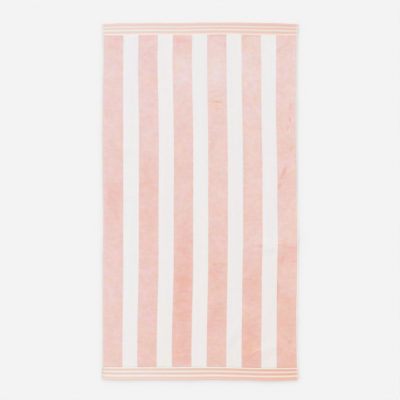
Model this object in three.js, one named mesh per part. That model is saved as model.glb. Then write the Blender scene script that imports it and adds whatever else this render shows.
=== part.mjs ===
// Striped beach towel, spread out on a level surface. Millimetres.
// X runs across the towel, Y along it, and Z up from the surface that it lies on.
// It is one woven cloth: a pile field, a flat woven border at each end, hems turned in
// twice on the two ends, and a narrow bare selvedge down each long side.

import * as THREE from "three";
import { mergeVertices } from "three/addons/utils/BufferGeometryUtils.js";

const LENGTH = 1800; // over the two hems
const WIDTH = 982; // over the two selvedges
const PILE_HIGH = 4.0;
const WEAVE_HIGH = 1.9; // borders and selvedges, which have no pile
const HEM_HIGH = 2.7; // three layers of the flat weave, pressed
const HEM_SLOPE = 3; // the hem comes down to the flat weave over this width
const FAR_HEM_DEEP = 15.5;
const FAR_WEAVE_DEEP = 48; // the flat weave of a border, from the hem to the pile
const NEAR_HEM_DEEP = 16.5; // the near border is a little deeper all over
const NEAR_WEAVE_DEEP = 51;
const SELVEDGE_WIDE = 7.5;
const EDGE_ROUND = 2.5; // how far in from an edge the cloth has its full height
const EDGE_TUCK = 0.5; // how far an edge turns up off the surface
const PILE_SLOPE = 3; // the pile rises from the flat weave over this width
const REACH_FADE = 90; // a border's waver fades out over this much of the pile field
const CELLS_ACROSS = 30; // of the pile field
const CELLS_ALONG = 50;

// How far the cloth lies to +X of its straight place, at stations along it. The pile field's
// two sides and the bare selvedges' outer edges sway a little apart.
const SWAY = [
  { along: 900, leftEdge: 0, left: 0, leftThird: 1, middle: -3,
    rightThird: -5, right: -1, rightEdge: 4.5 },
  { along: 800, leftEdge: 1.5, left: 1.5, leftThird: 0, middle: -3,
    rightThird: -5, right: -2.5, rightEdge: -1 },
  { along: 715, leftEdge: 3, left: 2, leftThird: -2, middle: -3,
    rightThird: -3, right: -5, rightEdge: -3 },
  { along: 535, leftEdge: -2, left: -2, leftThird: 1, middle: -1,
    rightThird: -3, right: -7, rightEdge: -4 },
  { along: 350, leftEdge: -1.5, left: -4, leftThird: 4, middle: 2,
    rightThird: 0, right: -6.5, rightEdge: -3.5 },
  { along: 170, leftEdge: -1.5, left: -4.5, leftThird: 4, middle: 3,
    rightThird: 3, right: -1, rightEdge: -1.5 },
  { along: -10, leftEdge: 0, left: -2.5, leftThird: 3, middle: 3,
    rightThird: 3, right: 0, rightEdge: 0 },
  { along: -195, leftEdge: -1.5, left: -3.5, leftThird: 3, middle: 3,
    rightThird: 4, right: 4.5, rightEdge: 2.5 },
  { along: -375, leftEdge: -2, left: -3, leftThird: 2, middle: 2,
    rightThird: 0, right: 2, rightEdge: 1 },
  { along: -555, leftEdge: -2, left: -3, leftThird: -3, middle: -2,
    rightThird: -1, right: -1, rightEdge: -0.5 },
  { along: -740, leftEdge: -2, left: -2.5, leftThird: -6, middle: -5,
    rightThird: -3, right: 0.5, rightEdge: -1 },
  { along: -900, leftEdge: -4, left: -2.5, leftThird: -5, middle: -5,
    rightThird: -2, right: 3, rightEdge: 6 },
];

// Where the columns of SWAY stand, across the towel.
const PILE_SIDE = WIDTH / 2 - SELVEDGE_WIDE;
const SWAY_PLACES = [
  { column: "left", across: -PILE_SIDE },
  { column: "leftThird", across: -260 },
  { column: "middle", across: 40 },
  { column: "rightThird", across: 300 },
  { column: "right", across: PILE_SIDE },
];

// How far each end, and the edge of the pile next to it, reaches outward of its straight place,
// at stations across the towel.
const END_REACH = [
  { across: -491, far: -5, farPile: -1.5, near: -6.5, nearPile: -1.5 },
  { across: -455, far: -3, farPile: -1.5, near: -4, nearPile: -2 },
  { across: -415, far: -1, farPile: -2, near: -3, nearPile: -1.5 },
  { across: -325, far: 0, farPile: 0, near: -3.5, nearPile: -2 },
  { across: -225, far: 1, farPile: 1, near: -3.5, nearPile: -2 },
  { across: -150, far: 0, farPile: 1, near: -2.5, nearPile: -2.5 },
  { across: -70, far: 1, farPile: 0.5, near: -2.5, nearPile: -3.5 },
  { across: 0, far: 2, farPile: 2, near: -3, nearPile: -3.5 },
  { across: 80, far: 3, farPile: 3.5, near: -4.5, nearPile: -3 },
  { across: 160, far: 3, farPile: 3.5, near: -2.5, nearPile: -2.5 },
  { across: 240, far: 2, farPile: 1, near: -1.5, nearPile: 1 },
  { across: 300, far: 1, farPile: 0.5, near: 0.5, nearPile: 2 },
  { across: 380, far: -1, farPile: -0.5, near: 1, nearPile: 2 },
  { across: 440, far: -3, farPile: -1.5, near: 0, nearPile: 2 },
  { across: 491, far: -5, farPile: -1, near: -3, nearPile: 0.5 },
];

// Where the cloth stands off the surface: soft ridges, each with its middle, the way that
// it runs (degrees from +X), its whole length and width, and its height.
const RIDGES = [
  { across: 309, along: -765, turn: 31, length: 300, width: 90, high: 2.8 },
  { across: 168, along: -672, turn: 57, length: 240, width: 80, high: 2.2 },
  { across: -248, along: 772, turn: 43, length: 240, width: 80, high: 2.0 },
  { across: 405, along: 767, turn: 30, length: 200, width: 80, high: 1.8 },
  { across: 352, along: -228, turn: 2, length: 380, width: 90, high: 2.0 },
  { across: -300, along: 39, turn: -2, length: 420, width: 90, high: 1.6 },
  { across: -384, along: 261, turn: 3, length: 300, width: 90, high: 1.6 },
  { across: 412, along: 127, turn: 75, length: 260, width: 80, high: 2.6 },
  { across: 62, along: 350, turn: 88, length: 620, width: 80, high: 1.6 },
  { across: -405, along: 872, turn: 84, length: 190, width: 130, high: 1.6 },
  { across: -210, along: 880, turn: 97, length: 170, width: 120, high: 1.2 },
  { across: 10, along: 880, turn: 86, length: 190, width: 140, high: 1.4 },
  { across: 205, along: 884, turn: 92, length: 150, width: 120, high: 1.0 },
  { across: 388, along: 876, turn: 80, length: 180, width: 130, high: 1.6 },
  { across: -360, along: -878, turn: 95, length: 190, width: 130, high: 1.4 },
  { across: -52, along: -882, turn: 88, length: 170, width: 120, high: 1.2 },
  { across: 150, along: -876, turn: 98, length: 170, width: 120, high: 1.0 },
  { across: 352, along: -872, turn: 82, length: 210, width: 150, high: 1.8 },
  { across: -478, along: 350, turn: 6, length: 200, width: 150, high: 1.8 },
  { across: -480, along: -250, turn: -8, length: 180, width: 140, high: 1.6 },
  { across: 480, along: -195, turn: 5, length: 190, width: 150, high: 2.0 },
  { across: 478, along: 470, turn: -6, length: 180, width: 140, high: 1.6 },
  { across: 484, along: -600, turn: 8, length: 170, width: 130, high: 1.4 },
];

// The sections of the cloth, going in from an end and in from a long side.
function endSection(hemDeep, pileAt) {
  return [
    { inward: 0, high: HEM_HIGH / 2 },
    { inward: EDGE_ROUND, high: HEM_HIGH },
    { inward: hemDeep - HEM_SLOPE, high: HEM_HIGH },
    { inward: hemDeep, high: WEAVE_HIGH },
    { inward: pileAt - PILE_SLOPE, high: WEAVE_HIGH },
    { inward: pileAt, high: PILE_HIGH },
  ];
}
function endOf(hemDeep, weaveDeep) {
  const pileAt = hemDeep + weaveDeep;
  return { hemDeep, pileAt, section: endSection(hemDeep, pileAt) };
}
const FAR_END = endOf(FAR_HEM_DEEP, FAR_WEAVE_DEEP);
const NEAR_END = endOf(NEAR_HEM_DEEP, NEAR_WEAVE_DEEP);
const SIDE_SECTION = [
  { inward: 0, high: WEAVE_HIGH / 2 },
  { inward: EDGE_ROUND, high: WEAVE_HIGH },
  { inward: SELVEDGE_WIDE - PILE_SLOPE / 2, high: WEAVE_HIGH },
  { inward: SELVEDGE_WIDE + PILE_SLOPE / 2, high: PILE_HIGH },
];

// A smooth curve through one column of a table, at a place that its key column measures.
function curveThrough(table, key, column, place) {
  const rows = [...table].sort((a, b) => a[key] - b[key]);
  const last = rows.length - 1;
  const at = Math.min(Math.max(place, rows[0][key]), rows[last][key]);
  const next = Math.max(1, rows.findIndex((row) => row[key] >= at));
  const [a, b] = [rows[next - 1], rows[next]];
  const before = rows[Math.max(0, next - 2)];
  const after = rows[Math.min(last, next + 1)];
  const span = b[key] - a[key];
  const slopeA = (b[column] - before[column]) / (b[key] - before[key]);
  const slopeB = (after[column] - a[column]) / (after[key] - a[key]);
  const t = (at - a[key]) / span;
  return (
    a[column] * (1 + 2 * t) * (1 - t) ** 2 +
    slopeA * span * t * (1 - t) ** 2 +
    b[column] * t ** 2 * (3 - 2 * t) +
    slopeB * span * t ** 2 * (t - 1)
  );
}

// The height at a distance in from an edge, straight from row to row of a section.
function sectionHigh(section, inward) {
  const next = section.findIndex((row) => row.inward >= inward);
  if (next === -1) return section[section.length - 1].high;
  if (next === 0) return section[0].high;
  const [a, b] = [section[next - 1], section[next]];
  return a.high + ((b.high - a.high) * (inward - a.inward)) / (b.inward - a.inward);
}

// How high the underside stands off the surface at a place of the spread cloth.
function liftAt(across, along) {
  let lift = 0;
  for (const ridge of RIDGES) {
    const turn = THREE.MathUtils.degToRad(ridge.turn);
    const dx = across - ridge.across;
    const dy = along - ridge.along;
    const lengthwise = (dx * Math.cos(turn) + dy * Math.sin(turn)) / (ridge.length / 2);
    const sideways = (dy * Math.cos(turn) - dx * Math.sin(turn)) / (ridge.width / 2);
    if (Math.abs(lengthwise) >= 1 || Math.abs(sideways) >= 1) continue;
    const fade = Math.cos((lengthwise * Math.PI) / 2) * Math.cos((sideways * Math.PI) / 2);
    lift += ridge.high * fade ** 2;
  }
  return lift;
}

function swayAt(across, along) {
  const swayOf = (column) => curveThrough(SWAY, "along", column, along);
  const places = SWAY_PLACES.map(({ column, across: place }) => ({
    across: place,
    sway: swayOf(column),
  }));
  const field = curveThrough(places, "across", "sway", across);
  const intoSelvedge = Math.max(0, (Math.abs(across) - PILE_SIDE) / SELVEDGE_WIDE);
  const edge = swayOf(across < 0 ? "leftEdge" : "rightEdge");
  return THREE.MathUtils.lerp(field, edge, intoSelvedge);
}

function endReachAt(across, along) {
  const inward = LENGTH / 2 - Math.abs(along);
  const [name, end] = along > 0 ? ["far", FAR_END] : ["near", NEAR_END];
  const fade = THREE.MathUtils.clamp(1 - (inward - end.pileAt) / REACH_FADE, 0, 1) ** 2;
  if (fade === 0) return 0;
  const atEdge = curveThrough(END_REACH, "across", name, across);
  const atPile = curveThrough(END_REACH, "across", `${name}Pile`, across);
  const reach = THREE.MathUtils.lerp(atEdge, atPile, Math.min(1, inward / end.pileAt));
  return Math.sign(along) * fade * reach;
}

// The cloth's height over its underside: that of the thinner section, except that in a hem
// the selvedge is folded in three as well.
function thicknessAt(end, fromEnd, fromSide) {
  const layers = fromEnd < end.hemDeep ? HEM_HIGH / WEAVE_HIGH : 1;
  const sideHigh = sectionHigh(SIDE_SECTION, fromSide) * layers;
  return Math.min(sectionHigh(end.section, fromEnd), sideHigh);
}

// One point of the cloth's face or of its underside.
function clothPoint(across, along, onFace) {
  const end = along > 0 ? FAR_END : NEAR_END;
  const fromEnd = LENGTH / 2 - Math.abs(along);
  const fromSide = WIDTH / 2 - Math.abs(across);
  const edgeTurn = Math.max(0, 1 - Math.min(fromEnd, fromSide) / EDGE_ROUND);
  const overUnderside = onFace ? thicknessAt(end, fromEnd, fromSide) : EDGE_TUCK * edgeTurn;
  return new THREE.Vector3(
    across + swayAt(across, along),
    along + endReachAt(across, along),
    liftAt(across, along) + overUnderside,
  );
}

// Stations from one edge to the other: those of the edges' sections, with even cells between.
function stations(size, firstSection, lastSection, cells) {
  const first = firstSection.map((row) => row.inward - size / 2);
  const last = lastSection.map((row) => size / 2 - row.inward).reverse();
  const [start, end] = [first[first.length - 1], last[0]];
  const middle = [];
  for (let cell = 1; cell < cells; cell += 1) middle.push(start + ((end - start) * cell) / cells);
  return [...first, ...middle, ...last];
}

function buildTowel() {
  const columns = stations(WIDTH, SIDE_SECTION, SIDE_SECTION, CELLS_ACROSS);
  const rows = stations(LENGTH, NEAR_END.section, FAR_END.section, CELLS_ALONG);
  const points = [];
  for (const onFace of [false, true]) {
    for (const along of rows) {
      for (const across of columns) points.push(clothPoint(across, along, onFace));
    }
  }

  const layer = rows.length * columns.length;
  const faces = [];
  const quad = (a, b, c, d) => faces.push(a, b, c, a, c, d);
  const at = (row, column) => row * columns.length + column;
  for (let row = 0; row + 1 < rows.length; row += 1) {
    for (let column = 0; column + 1 < columns.length; column += 1) {
      const [a, b] = [at(row, column), at(row, column + 1)];
      const [c, d] = [at(row + 1, column + 1), at(row + 1, column)];
      quad(layer + a, layer + b, layer + c, layer + d);
      quad(d, c, b, a);
    }
  }
  const rim = [];
  for (let column = 0; column < columns.length; column += 1) rim.push(at(0, column));
  for (let row = 1; row < rows.length; row += 1) rim.push(at(row, columns.length - 1));
  for (let column = columns.length - 2; column >= 0; column -= 1) {
    rim.push(at(rows.length - 1, column));
  }
  for (let row = rows.length - 2; row > 0; row -= 1) rim.push(at(row, 0));
  rim.forEach((a, step) => {
    const b = rim[(step + 1) % rim.length];
    quad(a, b, layer + b, layer + a);
  });

  const cloth = new THREE.BufferGeometry().setFromPoints(points);
  cloth.setIndex(faces);
  const geometry = mergeVertices(cloth);
  geometry.computeBoundingBox();
  const middle = geometry.boundingBox.getCenter(new THREE.Vector3());
  geometry.translate(-middle.x, -middle.y, 0);
  geometry.computeVertexNormals();
  return geometry;
}

const velour = new THREE.MeshStandardMaterial({
  name: "pink and white cotton velour",
  color: 0xedcbc3,
  roughness: 0.95,
  metalness: 0,
});

const towel = new THREE.Mesh(buildTowel(), velour);
towel.name = "towel";

const part = new THREE.Group();
part.add(towel);

export default part;
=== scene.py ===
import math
from collections import namedtuple

import bmesh
import bpy
import numpy as np
from mathutils import Matrix


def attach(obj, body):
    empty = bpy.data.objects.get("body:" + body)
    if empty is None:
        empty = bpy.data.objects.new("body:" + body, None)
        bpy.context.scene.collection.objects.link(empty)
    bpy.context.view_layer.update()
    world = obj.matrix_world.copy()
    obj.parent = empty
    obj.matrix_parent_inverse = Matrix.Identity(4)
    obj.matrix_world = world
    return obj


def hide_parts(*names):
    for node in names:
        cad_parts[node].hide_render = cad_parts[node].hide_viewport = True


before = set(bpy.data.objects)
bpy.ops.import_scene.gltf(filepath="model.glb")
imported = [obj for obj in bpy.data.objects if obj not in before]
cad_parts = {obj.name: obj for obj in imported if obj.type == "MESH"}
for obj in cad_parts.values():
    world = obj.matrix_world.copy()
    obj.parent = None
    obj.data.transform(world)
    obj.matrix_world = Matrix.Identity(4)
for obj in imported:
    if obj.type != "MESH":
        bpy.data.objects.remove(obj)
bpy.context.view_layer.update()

# The shape in which the towel lies: one length of cotton cloth spread out face up, which sways,
# wavers at its ends, stands off the surface in low soft ridges and turns up a little at its
# edges. Every piece below is laid out flat first and then follows this shape.
LENGTH = 1.800  # over the two hems
WIDTH = 0.982  # over the two selvedges
SELVEDGE_WIDE = 0.0075
PILE_SIDE = WIDTH / 2 - SELVEDGE_WIDE
FAR_HEM_DEEP = 0.0155
FAR_PILE_AT = 0.0635  # how deep a border is, with its hem
NEAR_PILE_AT = 0.0675  # the near border is a little deeper all over
REACH_FADE = 0.090  # a border's waver fades out over this much of the pile field
FAR_CURL = 0.0003  # how far each edge of the towel turns up off the surface
NEAR_CURL = 0.0036
SIDE_CURL = 0.0024
CURL_WIDE = 0.060

Sway = namedtuple("Sway", "along left_edge left left_third middle right_third right right_edge")
SWAY = [
    Sway(0.900, 0.000, 0.000, 0.001, -0.003, -0.005, -0.001, 0.0045),
    Sway(0.800, 0.0015, 0.0015, 0.000, -0.003, -0.005, -0.0025, -0.001),
    Sway(0.715, 0.003, 0.002, -0.002, -0.003, -0.003, -0.005, -0.003),
    Sway(0.535, -0.002, -0.002, 0.001, -0.001, -0.003, -0.007, -0.004),
    Sway(0.350, -0.0015, -0.004, 0.004, 0.002, 0.000, -0.0065, -0.0035),
    Sway(0.170, -0.0015, -0.0045, 0.004, 0.003, 0.003, -0.001, -0.0015),
    Sway(-0.010, 0.000, -0.0025, 0.003, 0.003, 0.003, 0.000, 0.000),
    Sway(-0.195, -0.0015, -0.0035, 0.003, 0.003, 0.004, 0.0045, 0.0025),
    Sway(-0.375, -0.002, -0.003, 0.002, 0.002, 0.000, 0.002, 0.001),
    Sway(-0.555, -0.002, -0.003, -0.003, -0.002, -0.001, -0.001, -0.0005),
    Sway(-0.740, -0.002, -0.0025, -0.006, -0.005, -0.003, 0.0005, -0.001),
    Sway(-0.900, -0.004, -0.0025, -0.005, -0.005, -0.002, 0.003, 0.006),
]
SWAY_PLACES = {
    "left": -PILE_SIDE,
    "left_third": -0.260,
    "middle": 0.040,
    "right_third": 0.300,
    "right": PILE_SIDE,
}

EndReach = namedtuple("EndReach", "across far far_pile near near_pile")
END_REACH = [
    EndReach(-0.491, -0.005, -0.0015, -0.0065, -0.0015),
    EndReach(-0.455, -0.003, -0.0015, -0.004, -0.002),
    EndReach(-0.415, -0.001, -0.002, -0.003, -0.0015),
    EndReach(-0.325, 0.000, 0.000, -0.0035, -0.002),
    EndReach(-0.225, 0.001, 0.001, -0.0035, -0.002),
    EndReach(-0.150, 0.000, 0.001, -0.0025, -0.0025),
    EndReach(-0.070, 0.001, 0.0005, -0.0025, -0.0035),
    EndReach(0.000, 0.002, 0.002, -0.003, -0.0035),
    EndReach(0.080, 0.003, 0.0035, -0.0045, -0.003),
    EndReach(0.160, 0.003, 0.0035, -0.0025, -0.0025),
    EndReach(0.240, 0.002, 0.001, -0.0015, 0.001),
    EndReach(0.300, 0.001, 0.0005, 0.0005, 0.002),
    EndReach(0.380, -0.001, -0.0005, 0.001, 0.002),
    EndReach(0.440, -0.003, -0.0015, 0.000, 0.002),
    EndReach(0.491, -0.005, -0.001, -0.003, 0.0005),
]

Ridge = namedtuple("Ridge", "across along turn length width high")
RIDGES = [
    Ridge(0.309, -0.765, 31, 0.300, 0.090, 0.0028),
    Ridge(0.168, -0.672, 57, 0.240, 0.080, 0.0022),
    Ridge(-0.248, 0.772, 43, 0.240, 0.080, 0.0020),
    Ridge(0.405, 0.767, 30, 0.200, 0.080, 0.0018),
    Ridge(0.352, -0.228, 2, 0.380, 0.090, 0.0020),
    Ridge(-0.300, 0.039, -2, 0.420, 0.090, 0.0016),
    Ridge(-0.384, 0.261, 3, 0.300, 0.090, 0.0016),
    Ridge(0.412, 0.127, 75, 0.260, 0.080, 0.0026),
    Ridge(0.062, 0.350, 88, 0.620, 0.080, 0.0016),
    Ridge(-0.405, 0.872, 84, 0.190, 0.130, 0.0016),
    Ridge(-0.210, 0.880, 97, 0.170, 0.120, 0.0012),
    Ridge(0.010, 0.880, 86, 0.190, 0.140, 0.0014),
    Ridge(0.205, 0.884, 92, 0.150, 0.120, 0.0010),
    Ridge(0.388, 0.876, 80, 0.180, 0.130, 0.0016),
    Ridge(-0.360, -0.878, 95, 0.190, 0.130, 0.0014),
    Ridge(-0.052, -0.882, 88, 0.170, 0.120, 0.0012),
    Ridge(0.150, -0.876, 98, 0.170, 0.120, 0.0010),
    Ridge(0.352, -0.872, 82, 0.210, 0.150, 0.0018),
    Ridge(-0.478, 0.350, 6, 0.200, 0.150, 0.0018),
    Ridge(-0.480, -0.250, -8, 0.180, 0.140, 0.0016),
    Ridge(0.480, -0.195, 5, 0.190, 0.150, 0.0020),
    Ridge(0.478, 0.470, -6, 0.180, 0.140, 0.0016),
    Ridge(0.484, -0.600, 8, 0.170, 0.130, 0.0014),
]


def smooth_through(keys, values, place):
    """A smooth curve through values at rising keys; a value is one number, or one for each place."""
    values = np.array([np.broadcast_to(value, place.shape) for value in values])
    slopes = [(values[1] - values[0]) / (keys[1] - keys[0])]
    for before in range(len(keys) - 2):
        slopes.append((values[before + 2] - values[before]) / (keys[before + 2] - keys[before]))
    slopes.append((values[-1] - values[-2]) / (keys[-1] - keys[-2]))
    slopes = np.array(slopes)
    keys = np.array(keys)
    at = np.clip(place, keys[0], keys[-1])
    b = np.clip(np.searchsorted(keys, at), 1, len(keys) - 1)
    a = b - 1
    each = np.arange(len(place))
    span = keys[b] - keys[a]
    t = (at - keys[a]) / span
    return (
        values[a, each] * (1 + 2 * t) * (1 - t) ** 2
        + slopes[a, each] * span * t * (1 - t) ** 2
        + values[b, each] * t**2 * (3 - 2 * t)
        + slopes[b, each] * span * t**2 * (t - 1)
    )


def column_through(table, key, column, place):
    rows = sorted(table, key=lambda row: getattr(row, key))
    keys = [getattr(row, key) for row in rows]
    return smooth_through(keys, [getattr(row, column) for row in rows], place)


def sway_at(across, along):
    sways = {name: column_through(SWAY, "along", name, along) for name in Sway._fields[1:]}
    field = smooth_through(
        list(SWAY_PLACES.values()), [sways[name] for name in SWAY_PLACES], across
    )
    into_selvedge = np.clip((np.abs(across) - PILE_SIDE) / SELVEDGE_WIDE, 0, 1)
    edge = np.where(across < 0, sways["left_edge"], sways["right_edge"])
    return field + (edge - field) * into_selvedge


def end_reach_at(across, along):
    inward = LENGTH / 2 - np.abs(along)
    far, far_pile, near, near_pile = (
        column_through(END_REACH, "across", name, across) for name in EndReach._fields[1:]
    )
    at_edge, at_pile = np.where(along > 0, far, near), np.where(along > 0, far_pile, near_pile)
    pile_at = np.where(along > 0, FAR_PILE_AT, NEAR_PILE_AT)
    fade = np.clip(1 - (inward - pile_at) / REACH_FADE, 0, 1) ** 2
    reach = at_edge + (at_pile - at_edge) * np.clip(inward / pile_at, 0, 1)
    return np.sign(along) * fade * reach


def lift_at(across, along):
    """How high the underside stands off the surface."""
    lift = np.zeros_like(across)
    for ridge in RIDGES:
        turn = math.radians(ridge.turn)
        dx, dy = across - ridge.across, along - ridge.along
        lengthwise = (dx * math.cos(turn) + dy * math.sin(turn)) / (ridge.length / 2)
        sideways = (dy * math.cos(turn) - dx * math.sin(turn)) / (ridge.width / 2)
        lengthwise, sideways = np.clip(np.abs(lengthwise), 0, 1), np.clip(np.abs(sideways), 0, 1)
        fade = np.cos(lengthwise * math.pi / 2) * np.cos(sideways * math.pi / 2)
        lift += ridge.high * fade**2
    curl = np.zeros_like(across)
    for high, inward in (
        (FAR_CURL, LENGTH / 2 - along),
        (NEAR_CURL, LENGTH / 2 + along),
        (SIDE_CURL, WIDTH / 2 - np.abs(across)),
    ):
        curl = np.maximum(curl, high * np.clip(1 - inward / CURL_WIDE, 0, 1) ** 2)
    return lift + curl


def spread_out(across, along, high):
    """Where points of the flat cloth come to lie, at a height over its underside."""
    return np.stack(
        [
            across + sway_at(across, along),
            along + end_reach_at(across, along),
            lift_at(across, along) + high,
        ],
        axis=1,
    )


# The cloth: a velour pile field between two flat woven end borders, hems turned in twice and
# stitched on the two ends, and bare selvedges. Cut pile stands on its face and loops on its
# back; the borders are weft-faced, with white bands that stand a little proud.
PILE_HIGH = 0.0040
WEAVE_HIGH = 0.0019
HEM_HIGH = 0.0027
HEM_SLOPE = 0.0030
STITCH_IN = 0.0110  # from the far end to the row of stitches
STITCH_DENT = 0.0003
EDGE_ROUND = 0.0016
EDGE_OPEN = 0.12  # of its height, left at the very edge
FIELD_ACROSS, FIELD_ALONG = 132, 212  # cells of the pile field
BESIDE_MARK = 0.004  # cells this near to a mark are finer
BAND_EDGES = [0.0233, 0.0345, 0.0423, 0.0537]  # white and pink in turn, white from the hem
BAND_PROUD = 0.0002
BAND_STEP = 0.0004

# Stations and sections are depths in from the far end. Those of the near end are drawn out to
# its deeper border.
END_STATIONS = [0, 0.0002, 0.0006, EDGE_ROUND, 0.0040, 0.0070, 0.0098, STITCH_IN]
END_STATIONS += [0.0122, 0.0132, 0.0140, 0.0148, FAR_HEM_DEEP, 0.0185]
END_STATIONS += [edge + side * BAND_STEP / 2 for edge in BAND_EDGES for side in (-1, 1)]
END_STATIONS += [0.0580, 0.0606, 0.0612, 0.0620, 0.0630, 0.0645]
SIDE_STATIONS = [0, 0.0002, 0.0006, EDGE_ROUND, 0.0035, 0.0055, 0.0064, 0.0072, 0.0085, 0.0105]

END_SECTION = [
    (FAR_HEM_DEEP - HEM_SLOPE, HEM_HIGH),
    (0.0140, 0.0022),
    (FAR_HEM_DEEP, WEAVE_HIGH),
    (0.0606, WEAVE_HIGH),
    (0.0612, WEAVE_HIGH + 0.0009),
    (0.0620, WEAVE_HIGH + 0.0016),
    (0.0635, PILE_HIGH),
]
PILE_FOOT = 0.0606  # where the pile starts to rise from the flat weave
SIDE_SECTION = [
    (0.0055, WEAVE_HIGH),
    (0.0064, WEAVE_HIGH + 0.0009),
    (0.0072, WEAVE_HIGH + 0.0016),
    (0.0085, PILE_HIGH),
]
PILE_SIDE_FOOT = 0.0055

PINK_LIGHT, PINK_DEEP = (0.77, 0.64, 0.61), (0.755, 0.43, 0.37)
PINK_TINT_COOL, PINK_TINT_WARM = (1, 1, 1.04), (1, 0.985, 0.93)
WHITE_COOL, WHITE_WARM = (0.772, 0.759, 0.761), (0.770, 0.724, 0.690)
FAR_PINK, FAR_PINK_DEEP = (0.790, 0.612, 0.560), (0.777, 0.515, 0.440)  # of the borders
NEAR_PINK, NEAR_PINK_DEEP = (0.748, 0.581, 0.510), (0.748, 0.440, 0.352)
BORDER_WHITE, BORDER_WHITE_WARM = (0.778, 0.750, 0.715), (0.765, 0.685, 0.610)
SELVEDGE_CREAM = (0.76, 0.70, 0.675)
CREAM_SHARE = 0.65  # of the selvedges' own colour, beside a border's bands
BY_PILE_PAINTED_LIGHT = 0.13  # painted light on the weave beside the near end's pile, lifting the shade that the pile's step casts there
FOLD_PAINTED_HIGHLIGHT = 0.08  # painted highlight on the near hem's outer part, where it rounds over
LEFT_SELVEDGE_DULLER = 0.11  # in its near part

STRIPE_PITCH = 0.1745
WHITE_HALF = 0.038  # half of a white stripe's width
STRIPE_BLUR = 0.0006  # half of the width over which one yarn's colour gives way to the next
BAND_BLUR = 0.0003
STILL_PINK = 0.004  # the outermost stripes stay pink over this width, next to the selvedges

# Where the pile was brushed the other way or pressed, and shows a deeper or a lighter pink.
Patch = namedtuple("Patch", "across along wide long deeper")
PATCHES = [
    Patch(-0.445, 0.790, 0.14, 0.08, 0.06),
    Patch(-0.445, 0.704, 0.14, 0.14, -0.08),
    Patch(-0.439, 0.350, 0.14, 0.20, -0.08),
    Patch(-0.437, 0.035, 0.12, 0.20, 0.34),
    Patch(-0.439, -0.067, 0.10, 0.16, 0.18),
    Patch(-0.439, 0.185, 0.14, 0.16, 0.08),
    Patch(-0.439, -0.470, 0.14, 0.42, -0.13),
    Patch(-0.439, -0.740, 0.14, 0.20, -0.12),
    Patch(-0.445, -0.828, 0.13, 0.04, -0.26),
    Patch(-0.264, 0.420, 0.14, 0.24, 0.08),
    Patch(-0.264, 0.070, 0.14, 0.50, 0.16),
    Patch(-0.264, -0.730, 0.14, 0.16, 0.06),
    Patch(-0.086, 0.808, 0.14, 0.03, 0.36),
    Patch(-0.086, 0.760, 0.14, 0.08, 0.12),
    Patch(-0.086, 0.190, 0.14, 0.16, 0.09),
    Patch(-0.086, 0.640, 0.14, 0.26, -0.18),
    Patch(-0.086, 0.345, 0.14, 0.16, 0.10),
    Patch(-0.086, -0.190, 0.14, 0.28, 0.12),
    Patch(-0.086, -0.445, 0.15, 0.50, 0.36),
    Patch(-0.089, -0.390, 0.10, 0.12, 0.12),
    Patch(-0.076, -0.561, 0.10, 0.09, 0.22),
    Patch(-0.086, -0.720, 0.14, 0.22, 0.13),
    Patch(-0.086, -0.800, 0.14, 0.05, 0.16),
    Patch(-0.086, -0.832, 0.14, 0.02, -0.34),
    Patch(0.085, 0.660, 0.14, 0.30, -0.30),
    Patch(0.080, 0.486, 0.14, 0.12, 0.03),
    Patch(0.085, 0.020, 0.14, 0.16, -0.05),
    Patch(0.085, -0.480, 0.14, 0.56, 0.06),
    Patch(0.075, -0.360, 0.14, 0.18, 0.28),
    Patch(0.090, -0.560, 0.13, 0.14, 0.20),
    Patch(0.085, -0.625, 0.14, 0.09, 0.20),
    Patch(0.085, -0.740, 0.14, 0.10, -0.05),
    Patch(0.085, -0.795, 0.14, 0.10, 0.16),
    Patch(0.085, -0.832, 0.14, 0.02, -0.34),
    Patch(0.257, 0.640, 0.14, 0.22, -0.16),
    Patch(0.257, 0.280, 0.14, 0.44, -0.19),
    Patch(0.257, -0.120, 0.14, 0.50, -0.03),
    Patch(0.262, -0.440, 0.13, 0.20, 0.20),
    Patch(0.252, -0.700, 0.14, 0.28, 0.22),
    Patch(0.257, -0.790, 0.14, 0.12, 0.18),
    Patch(0.443, 0.020, 0.14, 0.14, -0.05),
    Patch(0.443, -0.279, 0.12, 0.12, 0.08),
    Patch(0.443, -0.345, 0.13, 0.09, -0.14),
    Patch(0.443, -0.480, 0.13, 0.10, 0.12),
    Patch(0.440, -0.600, 0.14, 0.26, 0.06),
    Patch(0.443, -0.800, 0.14, 0.10, 0.14),
    Patch(0.450, -0.090, 0.14, 0.22, -0.20),
    Patch(0.440, 0.420, 0.14, 0.60, -0.08),
]
LAY_START = 0.33  # how deep the pink is on the whole at the left of the far end,
LAY_DOWN, LAY_RIGHT = 0.16, 0.01  # how much it deepens towards the near end and the right,
LAY_CORNER = 0.20  # and how much more in the corner between them
LAY_FIRST_ROWS = 0.12  # and by the borders, where the pile's first rows lean over the weave
FIRST_ROWS_DEEP = 0.008
NEAR_ROWS_PAINTED_SHADE = 0.005  # painted shade: how much darker the rows by the near border are made
PAINTED_LIGHT_BY_SELVEDGE = -0.14  # painted light: a lighter pink along the two sides, where the light comes in from outside
BY_SELVEDGE_WIDE = 0.008
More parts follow.
